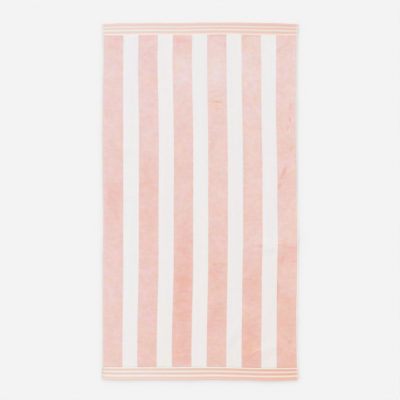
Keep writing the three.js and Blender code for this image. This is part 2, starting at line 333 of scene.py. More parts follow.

# Fold lines, creases and strokes of the brush: thin marks which stand up from the cloth or sink
# into it. A stroke's deeper or lighter pink is its own; in a crease the deeper pink is painted
# shade and the lighter pink beside it painted light.
Mark = namedtuple("Mark", "across along turn length width deeper raised")
MARKS = [
    Mark(0.271, -0.779, 34, 0.120, 0.013, 0.80, -0.0009),
    Mark(0.290, -0.752, 32, 0.110, 0.018, -0.20, 0.0009),
    Mark(0.343, -0.762, 46, 0.110, 0.014, 0.40, -0.0010),
    Mark(0.360, -0.746, 46, 0.110, 0.018, -0.20, 0.0012),
    Mark(0.170, -0.672, 57, 0.150, 0.014, 0.20, 0.0004),
    Mark(-0.250, 0.772, 43, 0.090, 0.012, 0.34, -0.0008),
    Mark(-0.285, 0.752, 44, 0.080, 0.014, -0.14, 0.0008),
    Mark(0.400, 0.767, 30, 0.070, 0.012, 0.30, -0.0006),
    Mark(0.352, -0.222, 1, 0.360, 0.012, 0.36, -0.0005),
    Mark(0.352, -0.236, 1, 0.300, 0.014, -0.10, 0.0004),
    Mark(0.446, -0.233, -1, 0.130, 0.016, 0.40, -0.0003),
    Mark(0.410, -0.292, 60, 0.050, 0.024, 0.40, -0.0003),
    Mark(0.465, -0.300, 20, 0.050, 0.022, 0.30, -0.0003),
    Mark(0.392, -0.425, 90, 0.110, 0.018, 0.45, -0.0004),
    Mark(0.450, -0.705, 15, 0.034, 0.024, 0.40, -0.0003),
    Mark(0.085, -0.312, 0, 0.120, 0.014, 0.28, -0.0003),
    Mark(-0.085, -0.400, 3, 0.120, 0.012, 0.24, -0.0003),
    Mark(-0.080, -0.455, -4, 0.100, 0.012, 0.26, -0.0003),
    Mark(-0.090, -0.505, 5, 0.120, 0.012, 0.24, -0.0003),
    Mark(-0.085, -0.600, -5, 0.120, 0.012, 0.28, -0.0003),
    Mark(-0.075, -0.660, 6, 0.100, 0.012, 0.26, -0.0003),
    Mark(-0.085, -0.755, 0, 0.120, 0.012, 0.24, -0.0003),
    Mark(-0.300, 0.039, -2, 0.420, 0.010, 0.14, -0.0006),
    Mark(-0.430, 0.261, 3, 0.140, 0.010, 0.16, -0.0006),
    Mark(0.418, 0.150, 64, 0.110, 0.020, 0.60, -0.0004),
    Mark(0.398, 0.085, 80, 0.060, 0.020, 0.55, -0.0004),
    Mark(0.458, 0.480, 82, 0.060, 0.018, 0.50, -0.0003),
    Mark(0.463, 0.415, 98, 0.070, 0.016, 0.55, -0.0003),
    Mark(0.452, 0.370, 70, 0.050, 0.020, 0.40, -0.0003),
    Mark(0.462, 0.262, 84, 0.050, 0.016, 0.36, -0.0003),
    Mark(0.080, 0.560, 2, 0.080, 0.012, 0.30, -0.0003),
    Mark(0.085, 0.505, -3, 0.090, 0.014, 0.50, -0.0004),
    Mark(0.095, 0.470, 4, 0.070, 0.012, 0.40, -0.0003),
    Mark(0.100, 0.398, -6, 0.080, 0.012, 0.34, -0.0003),
    Mark(0.060, 0.300, 89, 0.700, 0.008, 0.14, -0.0005),
    Mark(0.225, 0.250, 90, 0.900, 0.008, 0.14, -0.0004),
    Mark(-0.040, 0.120, 88, 0.260, 0.010, 0.26, -0.0003),
    Mark(0.385, 0.540, 85, 0.120, 0.014, 0.24, -0.0003),
    Mark(0.080, -0.520, 2, 0.110, 0.012, 0.24, -0.0003),
    Mark(0.385, -0.290, 75, 0.060, 0.018, 0.42, -0.0003),
    Mark(0.395, -0.470, 86, 0.140, 0.020, 0.34, -0.0003),
    Mark(0.440, -0.620, -4, 0.080, 0.014, 0.26, -0.0003),
    Mark(0.230, 0.780, 60, 0.070, 0.012, 0.28, -0.0004),
    Mark(0.130, 0.790, 92, 0.060, 0.014, 0.24, -0.0004),
    Mark(0.440, 0.790, 40, 0.070, 0.016, 0.26, -0.0005),
    Mark(0.086, 0.833, 0, 0.150, 0.016, 0.32, 0.0000),
]


def unevenness(across, along, size, seed):
    """Smooth chance unevenness from -1 to 1, in spots of a size."""
    knots = np.random.default_rng(seed).uniform(-1, 1, (160, 160))
    x, y = (across + WIDTH) / size, (along + LENGTH) / size
    column, row = np.floor(x).astype(int), np.floor(y).astype(int)
    x, y = x - column, y - row
    x, y = x * x * (3 - 2 * x), y * y * (3 - 2 * y)
    low = knots[column, row] * (1 - x) + knots[column + 1, row] * x
    high = knots[column, row + 1] * (1 - x) + knots[column + 1, row + 1] * x
    return low * (1 - y) + high * y


def marks_at(across, along):
    """The marks of the table: how much deeper the pink is, painted shade and light at the creases
    included, and how far the face is raised.
    """
    wavering_x = across + 0.006 * unevenness(across, along, 0.040, 11)
    wavering_y = along + 0.006 * unevenness(across, along, 0.040, 12)
    deeper, raised = np.zeros_like(across), np.zeros_like(across)
    for mark in MARKS:
        turn = math.radians(mark.turn)
        dx, dy = wavering_x - mark.across, wavering_y - mark.along
        lengthwise = (dx * math.cos(turn) + dy * math.sin(turn)) / (mark.length / 2)
        sideways = (dy * math.cos(turn) - dx * math.sin(turn)) / (mark.width / 2)
        strength = np.clip((1 - np.hypot(lengthwise, sideways)) / 0.85, 0, 1)
        strength = strength * strength * (3 - 2 * strength)
        deeper += strength * mark.deeper
        raised += strength * mark.raised
    return deeper, raised


def first_rows(along):
    """1 in the pile's first rows by a border, down to 0 further in."""
    into_pile = (depth_from_end(along) - FAR_PILE_AT) / FIRST_ROWS_DEEP
    return np.exp(-(np.clip(into_pile, 0, None) ** 2))


def pile_lay_and_painted_light(across, along):
    """How deep the pink pile looks, from 0 to 1, by the way it was brushed, with painted light along
    the sides and painted shade and light at the creases.
    """
    down, right = 0.5 - along / LENGTH, 0.5 + across / WIDTH
    lay = LAY_START + LAY_DOWN * down + LAY_RIGHT * right + LAY_CORNER * down * right
    for patch in PATCHES:
        away = ((across - patch.across) / (patch.wide / 2)) ** 2
        away += ((along - patch.along) / (patch.long / 2)) ** 2
        lay += patch.deeper * np.exp(-1.6 * away)
    lay += LAY_FIRST_ROWS * first_rows(along)
    into_side = np.clip(PILE_SIDE - np.abs(across), 0, None) / BY_SELVEDGE_WIDE
    lay += PAINTED_LIGHT_BY_SELVEDGE * np.exp(-(into_side**2))
    lay += 0.09 * unevenness(across, along, 0.090, 3)
    return lay + 0.05 * unevenness(across, along, 0.030, 4) + marks_at(across, along)[0]


def warmth(across, along):
    """How warm the light and the dye look, from 0 at the left of the far end to 1."""
    down, right = 0.5 - along / LENGTH, 0.5 + across / WIDTH
    return 0.35 * down + 0.25 * right + 0.40 * down * right


def border_lay(across, along):
    """How deep the pink of the two borders looks, from 0 to 1: both deepen to the right."""
    right = 0.5 + across / WIDTH
    return np.clip((right - 0.15) / np.where(along > 0, 0.90, 0.78), 0, 1)


def hold_values(mesh, across, along):
    """Keeps what the finishes read at a mesh's points, given their places on the flat cloth."""
    for name, values in (
        ("pile_lay_and_painted_light", pile_lay_and_painted_light(across, along)),
        ("border_lay", border_lay(across, along)),
        ("warmth", warmth(across, along)),
        ("end_depth", depth_from_end(along)),
        # painted shade on the pile's rows by the near border
        ("shade", 1 - NEAR_ROWS_PAINTED_SHADE * first_rows(along) * (along < 0)),
    ):
        mesh.attributes.new(name, "FLOAT", "POINT").data.foreach_set("value", values)


def stations(size, first_edge, last_edge, cells):
    """Places from one edge to the other: those near the edges, with even cells between."""
    field = np.linspace(first_edge[-1] - size / 2, size / 2 - last_edge[-1], cells + 1)
    first = [inward - size / 2 for inward in first_edge[:-1]]
    last = [size / 2 - inward for inward in reversed(last_edge[:-1])]
    return np.array(first + list(field) + last)


def near_end_depth(inward):
    """The near end's own depth for a depth of the far end, whose border is less deep."""
    drawn_out = inward * NEAR_PILE_AT / FAR_PILE_AT
    return np.where(inward < FAR_PILE_AT, drawn_out, inward + NEAR_PILE_AT - FAR_PILE_AT)


def depth_from_end(along):
    """How deep in from its end a place lies, in the far end's depths."""
    inward = LENGTH / 2 - np.abs(along)
    drawn_in = inward * FAR_PILE_AT / NEAR_PILE_AT
    near = np.where(inward < NEAR_PILE_AT, drawn_in, inward + FAR_PILE_AT - NEAR_PILE_AT)
    return np.where(along > 0, inward, near)


def rounding(across, along):
    """1 inside the cloth, down to almost 0 at its very edge along a round nose."""
    inward = np.minimum(depth_from_end(along), WIDTH / 2 - np.abs(across))
    into_nose = np.clip(inward / EDGE_ROUND, 0, 1)
    return EDGE_OPEN + (1 - EDGE_OPEN) * np.sqrt(1 - (1 - into_nose) ** 2)


def thickness(across, along):
    from_end = depth_from_end(along)
    from_side = WIDTH / 2 - np.abs(across)
    end_high = np.interp(from_end, *zip(*END_SECTION))
    side_high = np.interp(from_side, *zip(*SIDE_SECTION))
    side_high = np.where(from_end < FAR_HEM_DEEP, side_high * HEM_HIGH / WEAVE_HIGH, side_high)
    high = np.minimum(end_high, side_high)
    band = np.searchsorted(BAND_EDGES, from_end)
    proud = (from_end > FAR_HEM_DEEP) & (band % 2 == 0)
    return high + np.where(proud & (from_end < PILE_FOOT), BAND_PROUD, 0)


def face_height(across, along):
    """The height of the cloth's face over its underside, with its pile's own unevenness."""
    from_end = depth_from_end(along)
    high = thickness(across, along)
    in_pile = high > PILE_HIGH - 0.0001
    rumple = 0.00020 * unevenness(across, along, 0.024, 7)
    rumple += 0.00020 * unevenness(across, along, 0.060, 8)
    dent = STITCH_DENT * np.clip(1 - np.abs(from_end - STITCH_IN) / 0.0012, 0, 1)
    return high + np.where(in_pile, rumple + marks_at(across, along)[1], 0.25 * rumple) - dent


def near_a_mark(across, along):
    """Whether places lie within a cell of a mark that is too fine for the even cells."""
    near = np.zeros(len(across), bool)
    for mark in MARKS:
        turn = math.radians(mark.turn)
        dx, dy = across - mark.across, along - mark.along
        lengthwise = np.abs(dx * math.cos(turn) + dy * math.sin(turn)) - mark.length / 2
        sideways = np.abs(dy * math.cos(turn) - dx * math.sin(turn)) - mark.width / 2
        near |= (lengthwise < 0) & (sideways < BESIDE_MARK)
    return near


columns = stations(WIDTH, SIDE_STATIONS, SIDE_STATIONS, FIELD_ACROSS)
near_stations = list(near_end_depth(np.array(END_STATIONS)))
rows = stations(LENGTH, near_stations, END_STATIONS, FIELD_ALONG)
weave = bmesh.new()
bmesh.ops.create_grid(weave, x_segments=len(columns) - 1, y_segments=len(rows) - 1, size=0.5)
for vert in weave.verts:
    column = round((vert.co.x + 0.5) * (len(columns) - 1))
    row = round((vert.co.y + 0.5) * (len(rows) - 1))
    vert.co = (columns[column], rows[row], 0)
middles = np.array([face.calc_center_median()[:2] for face in weave.faces]).T
creased = [face for face, hit in zip(weave.faces, near_a_mark(*middles)) if hit]
edges = list({edge for face in creased for edge in face.edges})
bmesh.ops.subdivide_edges(weave, edges=edges, cuts=1, use_grid_fill=True)
bmesh.ops.solidify(weave, geom=weave.faces[:], thickness=-WEAVE_HIGH)
bmesh.ops.recalc_face_normals(weave, faces=weave.faces[:])
flat_map = weave.loops.layers.uv.new("cloth")
bake_map = weave.loops.layers.uv.new("OFBake")
FACE_SHARE = 0.74  # of the baked picture, for the face; the back has the rest
BAKE_SPREAD = 0.985  # of the picture's length and width that the cloth takes up
RIM_OUT = 1.004  # how far out the rim's lower points are drawn in it
for face in weave.faces:
    on_face = sum(vert.co.z > 0 for vert in face.verts)
    middle = face.calc_center_median()
    is_rim = on_face not in (0, len(face.verts))
    from_end, from_side = float(depth_from_end(middle.y)), WIDTH / 2 - abs(middle.x)
    has_pile = from_end > PILE_FOOT and from_side > PILE_SIDE_FOOT and not is_rim
    face.material_index = (1 if on_face else 2) if has_pile else 0
    face.smooth = True
    for loop in face.loops:
        across, along = loop.vert.co.x, loop.vert.co.y
        loop[flat_map].uv = (across, along)
        spread = BAKE_SPREAD * (RIM_OUT if is_rim and loop.vert.co.z <= 0 else 1)
        u, v = 0.5 + spread * along / LENGTH, 0.5 + spread * across / WIDTH
        v = v * FACE_SHARE if on_face else FACE_SHARE + v * (1 - FACE_SHARE)
        loop[bake_map].uv = (u, v)

cloth_mesh = bpy.data.meshes.new("towel_cloth")
weave.to_mesh(cloth_mesh)
weave.free()
flat = np.empty(len(cloth_mesh.vertices) * 3)
cloth_mesh.vertices.foreach_get("co", flat)
across, along, side = flat.reshape(-1, 3).T
round_nose = rounding(across, along)
full = face_height(across, along)
high = np.where(side > 0, full * (0.5 + 0.5 * round_nose), full * (0.5 - 0.5 * round_nose))
places = spread_out(across, along, high)
middle = (places.max(axis=0) + places.min(axis=0)) / 2
CLOTH_SHIFT = np.array([-middle[0], -middle[1], 0])  # centres the cloth's box, as the frame has it
cloth_mesh.vertices.foreach_set("co", (places + CLOTH_SHIFT).ravel())
hold_values(cloth_mesh, across, along)
cloth_mesh.update()


def add_node(tree, kind, sockets=None, **settings):
    """Adds a node with its settings; a socket takes a value, or the output that feeds it."""
    made = tree.nodes.new(kind)
    for name, value in settings.items():
        setattr(made, name, value)
    for name, value in (sockets or {}).items():
        if isinstance(value, bpy.types.NodeSocket):
            tree.links.new(value, made.inputs[name])
        else:
            made.inputs[name].default_value = value
    return made


def calc(tree, operation, first, second=0.0, third=0.0, clamp=False):
    sockets = {0: first, 1: second, 2: third}
    made = add_node(tree, "ShaderNodeMath", sockets, operation=operation, use_clamp=clamp)
    return made.outputs[0]


def ramp(tree, value, low, high, to_low=0.0, to_high=1.0):
    sockets = {"Value": value, 1: low, 2: high, 3: to_low, 4: to_high}
    return add_node(tree, "ShaderNodeMapRange", sockets, interpolation_type="SMOOTHSTEP").outputs[0]


def blend(tree, share, first, second, kind="MIX"):
    mix = add_node(tree, "ShaderNodeMix", data_type="RGBA", blend_type=kind)
    for socket, value in ((0, share), (6, first), (7, second)):
        if isinstance(value, bpy.types.NodeSocket):
            tree.links.new(value, mix.inputs[socket])
        elif socket:
            mix.inputs[socket].default_value = (*value, 1)
        else:
            mix.inputs[socket].default_value = value
    return mix.outputs[2]


def grey(tree, value):
    """A grey colour of a value."""
    return add_node(tree, "ShaderNodeCombineXYZ", {0: value, 1: value, 2: value}).outputs[0]


def value_of(tree, name):
    """A value that the mesh holds at its vertices."""
    return add_node(tree, "ShaderNodeAttribute", attribute_name=name).outputs["Fac"]


def noise(tree, place, scale, stretch=(1, 1, 1), detail=2.0, roughness=0.55):
    """Noise from 0 to 1 on the flat cloth, in spots of about 1 / scale metres."""
    sizes = {0: place, 1: [scale * share for share in stretch]}
    grown = add_node(tree, "ShaderNodeVectorMath", sizes, operation="MULTIPLY")
    sockets = {"Vector": grown.outputs[0], "Scale": 1.0, "Detail": detail, "Roughness": roughness}
    return add_node(tree, "ShaderNodeTexNoise", sockets).outputs[0]


def new_finish(name, roughness):
    """A material with its node tree, its Principled shader and the place on the flat cloth."""
    finish = bpy.data.materials.new(name)
    finish.use_nodes = True
    tree = finish.node_tree
    shader = tree.nodes["Principled BSDF"]
    shader.inputs["Roughness"].default_value = roughness
    shader.inputs["Specular IOR Level"].default_value = 0.15
    place = add_node(tree, "ShaderNodeUVMap", uv_map="cloth").outputs[0]
    return finish, tree, shader, place


def pink_share(tree, place, fray):
    """1 in the pink stripes and 0 in the white ones, with edges frayed by the yarns' own width."""
    parts = add_node(tree, "ShaderNodeSeparateXYZ", {0: place})
    jitter = calc(tree, "SUBTRACT", noise(tree, place, 620, (1, 0.45, 1)), 0.5)
    wander = calc(tree, "SUBTRACT", noise(tree, place, 45, (0.2, 1, 1)), 0.5)
    frayed = calc(tree, "MULTIPLY_ADD", jitter, fray, parts.outputs[0])
    frayed = calc(tree, "MULTIPLY_ADD", wander, fray, frayed)
    inside = calc(tree, "MINIMUM", calc(tree, "ABSOLUTE", frayed), PILE_SIDE - STILL_PINK)
    from_white = calc(tree, "PINGPONG", inside, STRIPE_PITCH / 2)
    return ramp(tree, from_white, WHITE_HALF - STRIPE_BLUR, WHITE_HALF + STRIPE_BLUR)


def bump(tree, height, distance, strength=1.0, under=None):
    sockets = {"Height": height, "Distance": distance, "Strength": strength}
    if under is not None:
        sockets["Normal"] = under
    return add_node(tree, "ShaderNodeBump", sockets).outputs[0]


def tinted(tree, place, stretch, strength):
    """Uneven tones of the dye, each colour for itself, as factors about 1."""
    grown = add_node(tree, "ShaderNodeVectorMath", {0: place, 1: stretch}, operation="MULTIPLY")
    tones = add_node(
        tree,
        "ShaderNodeTexNoise",
        {"Vector": grown.outputs[0], "Scale": 12.0, "Detail": 4.0, "Roughness": 1.0},
    )
    base = [1 - share / 2 for share in strength]
    sockets = {0: tones.outputs[1], 1: strength, 2: base}
    return add_node(tree, "ShaderNodeVectorMath", sockets, operation="MULTIPLY_ADD").outputs[0]


def velour_finish(name, lighter, combed_relief):
    """Cut pile: short upright cotton fibres, mottled by the way that they lie."""
    finish, tree, shader, place = new_finish(name, 0.95)
    lay = value_of(tree, "pile_lay_and_painted_light")
    rows = calc(tree, "SUBTRACT", noise(tree, place, 1.0, (16, 190, 1), detail=3.0), 0.5)
    row_share = calc(tree, "MULTIPLY_ADD", lay, 0.60, 0.05)
    lay = calc(tree, "MULTIPLY_ADD", rows, row_share, lay)
    columns = noise(tree, place, 1.0, (200, 14, 1), detail=3.0)
    brushed = ramp(tree, noise(tree, place, 16, (1, 1.3, 1)), 0.40, 0.60)
    blotches = ramp(tree, noise(tree, place, 52, (0.8, 1, 1), detail=3.0), 0.38, 0.62)
    grain = noise(tree, place, 260, detail=3.0)
    for pattern, share in ((columns, 0.26), (brushed, 0.08), (blotches, 0.16), (grain, 0.46)):
        offset = calc(tree, "SUBTRACT", pattern, 0.5)
        lay = calc(tree, "MULTIPLY_ADD", offset, share, lay)
    pink = blend(tree, calc(tree, "ADD", lay, 0.0, clamp=True), PINK_LIGHT, PINK_DEEP)
    warm = value_of(tree, "warmth")
    pink = blend(tree, 1.0, pink, blend(tree, warm, PINK_TINT_COOL, PINK_TINT_WARM), "MULTIPLY")
    # fine grain in the pink's tone, times the painted shade of the rows by the near border
    grain_and_painted_shade = calc(tree, "SUBTRACT", noise(tree, place, 200, detail=3.0), 0.5)
    grain_and_painted_shade = calc(tree, "MULTIPLY_ADD", grain_and_painted_shade, 0.12, value_of(tree, "shade"))
    pink = blend(tree, 1.0, pink, grey(tree, grain_and_painted_shade), "MULTIPLY")
    pink = blend(tree, 1.0, pink, tinted(tree, place, (1, 1, 1), (0.26, 0.0, 0.56)), "MULTIPLY")
    white = blend(tree, calc(tree, "POWER", warm, 1.8), WHITE_COOL, WHITE_WARM)
    streaks = tinted(tree, place, (1, 0.05, 1), (0.22, 0.10, 0.20))
    white = blend(tree, 1.0, white, streaks, "MULTIPLY")
    colour = blend(tree, pink_share(tree, place, 0.0016), white, pink)
    # painted light: for the edge tufts the whole colour is made lighter by this factor
    colour = blend(tree, 1.0, colour, (lighter, lighter, lighter), "MULTIPLY")
    tree.links.new(colour, shader.inputs["Base Color"])
    shader.inputs["Sheen Weight"].default_value = 0.20
    shader.inputs["Sheen Roughness"].default_value = 0.45
    if combed_relief:
        soft = bump(tree, blotches, 0.0004, 0.6)
        combed = bump(tree, calc(tree, "ADD", rows, columns), 0.0009, 0.6, soft)
        fibres = bump(tree, noise(tree, place, 900, detail=3.0), 0.0006, 0.65, combed)
        tree.links.new(fibres, shader.inputs["Normal"])
    return finish


def border_finish():
    """Weft-faced flat weave: bands of colour across the cloth, with fine ribs along the weft."""
    finish, tree, shader, place = new_finish("flat woven border", 0.85)
    parts = add_node(tree, "ShaderNodeSeparateXYZ", {0: place})
    wander = calc(tree, "SUBTRACT", noise(tree, place, 300), 0.5)
    from_end = calc(tree, "MULTIPLY_ADD", wander, 0.0007, value_of(tree, "end_depth"))
    white = 0.0
    for low, high in zip([FAR_HEM_DEEP, *BAND_EDGES[1::2]], [*BAND_EDGES[::2], FAR_PILE_AT]):
        rise = ramp(tree, from_end, low - BAND_BLUR, low + BAND_BLUR)
        fall = ramp(tree, from_end, high - BAND_BLUR, high + BAND_BLUR)
        white = calc(tree, "ADD", white, calc(tree, "SUBTRACT", rise, fall))
    slub = calc(tree, "SUBTRACT", noise(tree, place, 90, (0.15, 4, 1)), 0.5)
    lay = value_of(tree, "border_lay")
    depth = calc(tree, "MULTIPLY_ADD", slub, 0.3, lay, clamp=True)
    near = ramp(tree, parts.outputs[1], 0.1, -0.1)
    lighter = blend(tree, near, FAR_PINK, NEAR_PINK)
    deeper = blend(tree, near, FAR_PINK_DEEP, NEAR_PINK_DEEP)
    pink = blend(tree, depth, lighter, deeper)
    bands = blend(tree, white, pink, blend(tree, lay, BORDER_WHITE, BORDER_WHITE_WARM))
    slubs = tinted(tree, place, (0.4, 2, 1), (0.12, 0.10, 0.24))
    bands = blend(tree, 1.0, bands, slubs, "MULTIPLY")
    # painted light on the weave beside the near end's pile
    painted_light_by_pile = ramp(tree, from_end, BAND_EDGES[3], BAND_EDGES[3] + 0.003)
    lit = calc(tree, "MULTIPLY_ADD", calc(tree, "MULTIPLY", painted_light_by_pile, near), BY_PILE_PAINTED_LIGHT, 1.0)
    from_side = calc(tree, "SUBTRACT", WIDTH / 2, calc(tree, "ABSOLUTE", parts.outputs[0]))
    in_selvedge = ramp(tree, from_side, SELVEDGE_WIDE, SELVEDGE_WIDE - 0.002, 0.0, CREAM_SHARE)
    # painted highlight where the near hem rounds over
    in_fold_highlight = calc(tree, "MULTIPLY", ramp(tree, from_end, 0.0080, 0.0060), near)
    lit = calc(tree, "MULTIPLY_ADD", in_fold_highlight, FOLD_PAINTED_HIGHLIGHT, lit)
    near_left = calc(tree, "MULTIPLY", ramp(tree, parts.outputs[0], -0.3, -0.4), in_selvedge)
    near_left = calc(tree, "MULTIPLY", ramp(tree, parts.outputs[1], -0.15, -0.30), near_left)
    lit = calc(tree, "MULTIPLY_ADD", near_left, -LEFT_SELVEDGE_DULLER / CREAM_SHARE, lit)
    bands = blend(tree, in_selvedge, bands, SELVEDGE_CREAM)
    beyond_border = ramp(tree, from_end, FAR_PILE_AT - 0.004, FAR_PILE_AT)
    colour = blend(tree, beyond_border, bands, SELVEDGE_CREAM)
    colour = blend(tree, 1.0, colour, grey(tree, lit), "MULTIPLY")
    tree.links.new(colour, shader.inputs["Base Color"])
    ribs = calc(tree, "SINE", calc(tree, "MULTIPLY", parts.outputs[1], math.tau / 0.0011))
    warp = calc(tree, "SINE", calc(tree, "MULTIPLY", parts.outputs[0], math.tau / 0.0009))
    weave_relief = calc(tree, "MULTIPLY_ADD", warp, 0.6, ribs)
    woven = bump(tree, weave_relief, 0.00005, 0.8)
    in_hem = ramp(tree, from_end, FAR_HEM_DEEP, 0.010)
    pucker = calc(tree, "MULTIPLY", noise(tree, place, 60, (1, 0.4, 1)), in_hem)
    puckered = bump(tree, pucker, 0.0012, 0.6, woven)
    tree.links.new(puckered, shader.inputs["Normal"])
    return finish


def loop_finish():
    """The back: uncut terry loops in rows, over the same striped warp."""
    finish, tree, shader, place = new_finish("terry loops", 0.95)
    lay = value_of(tree, "pile_lay_and_painted_light")
    spaced = add_node(
        tree, "ShaderNodeVectorMath", {0: place, 1: (520, 400, 1)}, operation="MULTIPLY"
    ).outputs[0]
    loops = add_node(
        tree, "ShaderNodeTexVoronoi", {"Vector": spaced, "Scale": 1.0, "Randomness": 0.75}
    ).outputs[0]
    # painted shade: a deeper colour in the gaps between the loops
    between = calc(tree, "MULTIPLY", loops, 0.35)
    depth = calc(tree, "MULTIPLY_ADD", lay, 0.7, between, clamp=True)
    pink = blend(tree, depth, PINK_LIGHT, PINK_DEEP)
    white = blend(tree, depth, WHITE_COOL, WHITE_WARM)
    colour = blend(tree, pink_share(tree, place, 0.0024), white, pink)
    tree.links.new(colour, shader.inputs["Base Color"])
    rounded = calc(tree, "SUBTRACT", 1.0, calc(tree, "POWER", loops, 2.0))
    tree.links.new(bump(tree, rounded, 0.0009, 0.8), shader.inputs["Normal"])
    return finish


def add_piece(name, mesh, finishes):
    """Adds a mesh as a piece of the towel with its finishes."""
    for finish in finishes:
        mesh.materials.append(finish)
    piece = bpy.data.objects.new(name, mesh)
    bpy.context.collection.objects.link(piece)
    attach(piece, "root")
    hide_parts("towel")
    return piece


velour = velour_finish("striped velour", 1.0, combed_relief=True)
towel_cloth = add_piece("towel_cloth", cloth_mesh, [border_finish(), velour, loop_finish()])


# The hems' stitching: a row of lockstitches in cotton thread along each end, through all three
# layers, so that the face and the back each show short rounded stitches, drawn a little in.
STITCH_PITCH = 0.0032
STITCH_LONG = 0.0026
STITCH_THICK = 0.00050
STITCH_TILT = 0.10  # how far a stitch slants, by the turn of its thread
STITCH_RISE = 0.00012  # from the bottom of the dent to a stitch's middle
STITCHES_FROM_SIDE = 0.0035
THREAD_COLOUR, THREAD_SHADE = (0.80, 0.655, 0.590), (0.72, 0.50, 0.43)


def read_shape(shape):
    """The points and faces of a small shape."""
    shape.verts.index_update()
    points = np.array([vert.co for vert in shape.verts])
    faces = [[vert.index for vert in face.verts] for face in shape.faces]
    shape.free()
    return points, faces


def rounded_bead(long_axis, size):
    """A bead of 48 triangles with its two poles on its long axis, X or Y."""
    bead = bmesh.new()
    bmesh.ops.create_uvsphere(bead, u_segments=8, v_segments=4, radius=0.5)
    turn = Matrix.Rotation(math.pi / 2, 3, "Y" if long_axis == "X" else "X")
    bmesh.ops.rotate(bead, matrix=turn, verts=bead.verts)
    bmesh.ops.scale(bead, vec=size, verts=bead.verts)
    return read_shape(bead)


def joined_copies(name, shape, centres, turns):
    """One mesh of copies of a shape, each with its centre on the flat cloth and its turn."""
    points, faces = shape
    flat = (np.einsum("cij,pj->cpi", turns, points) + centres[:, None, :]).reshape(-1, 3)
    laid = spread_out(*flat.T) + CLOTH_SHIFT
    firsts = len(points) * np.arange(len(centres))
    corners = np.concatenate([np.array(face) for face in faces])
    mesh = bpy.data.meshes.new(name)
    copied = [[first + corner for corner in face] for first in firsts for face in faces]
    mesh.from_pydata(laid, [], copied)
    mesh.shade_smooth()
    hold_values(mesh, flat[:, 0], flat[:, 1])
    at_corners = (firsts[:, None] + corners).ravel()
    mesh.uv_layers.new(name="cloth").data.foreach_set("uv", flat[at_corners, :2].ravel())
    # In the baked picture each copy has a square cell, and is seen from above and a little aslant.
    seen = points[:, :2] + 0.4 * points[:, 2:]
    seen = 0.1 + 0.8 * (seen - seen.min(axis=0)) / np.ptp(seen, axis=0)
    cells = math.ceil(math.sqrt(len(centres)))
    cell = np.stack(np.divmod(np.arange(len(centres)), cells), axis=1)
    in_picture = (cell[:, None, :] + seen[corners]) / cells
    mesh.uv_layers.new(name="OFBake").data.foreach_set("uv", in_picture.ravel())
    return mesh


def thread_finish():
    """Cotton sewing thread, two-ply, with its twist showing."""
    finish, tree, shader, place = new_finish("sewing thread", 0.8)
    parts = add_node(tree, "ShaderNodeSeparateXYZ", {0: place})
    slanted = calc(tree, "MULTIPLY_ADD", parts.outputs[1], 1.6, parts.outputs[0])
    twist = calc(tree, "SINE", calc(tree, "MULTIPLY", slanted, math.tau / 0.00055))
    colour = blend(tree, noise(tree, place, 400), THREAD_COLOUR, THREAD_SHADE)
    tree.links.new(colour, shader.inputs["Base Color"])
    tree.links.new(bump(tree, twist, 0.00006, 0.8), shader.inputs["Normal"])
    return finish


chance = np.random.default_rng(21)
row_half = WIDTH / 2 - STITCHES_FROM_SIDE
row_across = np.arange(-row_half, row_half, STITCH_PITCH)
stitch_rows = []
for row_along in (LENGTH / 2 - STITCH_IN, near_end_depth(STITCH_IN) - LENGTH / 2):
    along = row_along + chance.uniform(-0.00015, 0.00015, len(row_across))
    on_face = face_height(row_across, along) + STITCH_RISE
    on_back = np.full(len(row_across), 0.4 * STITCH_THICK)
    stitch_rows += [np.stack([row_across, along, high], axis=1) for high in (on_face, on_back)]
stitch_centres = np.concatenate(stitch_rows)
slants = STITCH_TILT + chance.uniform(-0.05, 0.05, len(stitch_centres))
stitch_turns = np.tile(np.eye(3), (len(stitch_centres), 1, 1))
stitch_turns[:, 1, 0] = slants
stitch = rounded_bead("X", (STITCH_LONG, STITCH_THICK, STITCH_THICK))
stitch_mesh = joined_copies("hem_stitches", stitch, stitch_centres, stitch_turns)
hem_stitches = add_piece("hem_stitches", stitch_mesh, [thread_finish()])


# The selvedges' outer edge: the weft turns back round the last warp ends there, so that a row
# of small loops of undyed yarn stands along both sides.
TURN_PITCH = 0.0026
TURN_SIZE = (0.0008, 0.0021, 0.0010)
TURN_IN = 0.00012  # from the cloth's edge to a turn's middle
TURN_COLOUR, TURN_SHADE = (0.78, 0.725, 0.70), (0.73, 0.66, 0.63)


def yarn_finish():
    """Undyed soft-spun cotton yarn."""
    finish, tree, shader, place = new_finish("selvedge yarn", 0.9)
    colour = blend(tree, noise(tree, place, 500), TURN_COLOUR, TURN_SHADE)
    tree.links.new(colour, shader.inputs["Base Color"])
    tree.links.new(bump(tree, noise(tree, place, 1500), 0.0002, 0.6), shader.inputs["Normal"])
    return finish


side_half = LENGTH / 2 - EDGE_ROUND
turn_along = np.tile(np.arange(-side_half, side_half, TURN_PITCH), 2)
turn_along += chance.uniform(-0.0003, 0.0003, len(turn_along))
turn_side = np.repeat([-1, 1], len(turn_along) // 2)
turn_across = turn_side * (WIDTH / 2 - TURN_IN)
in_hem = depth_from_end(turn_along) < FAR_HEM_DEEP
turn_high = np.where(in_hem, HEM_HIGH, WEAVE_HIGH) / 2
turn_high += chance.uniform(-0.0001, 0.0001, len(turn_along))
turn_centres = np.stack([turn_across, turn_along, turn_high], axis=1)
turn_turns = np.eye(3) * chance.uniform(0.85, 1.15, (len(turn_along), 1, 1))
yarn_turn = rounded_bead("Y", TURN_SIZE)
turn_mesh = joined_copies("selvedge_turns", yarn_turn, turn_centres, turn_turns)
selvedge_turns = add_piece("selvedge_turns", turn_mesh, [yarn_finish()])


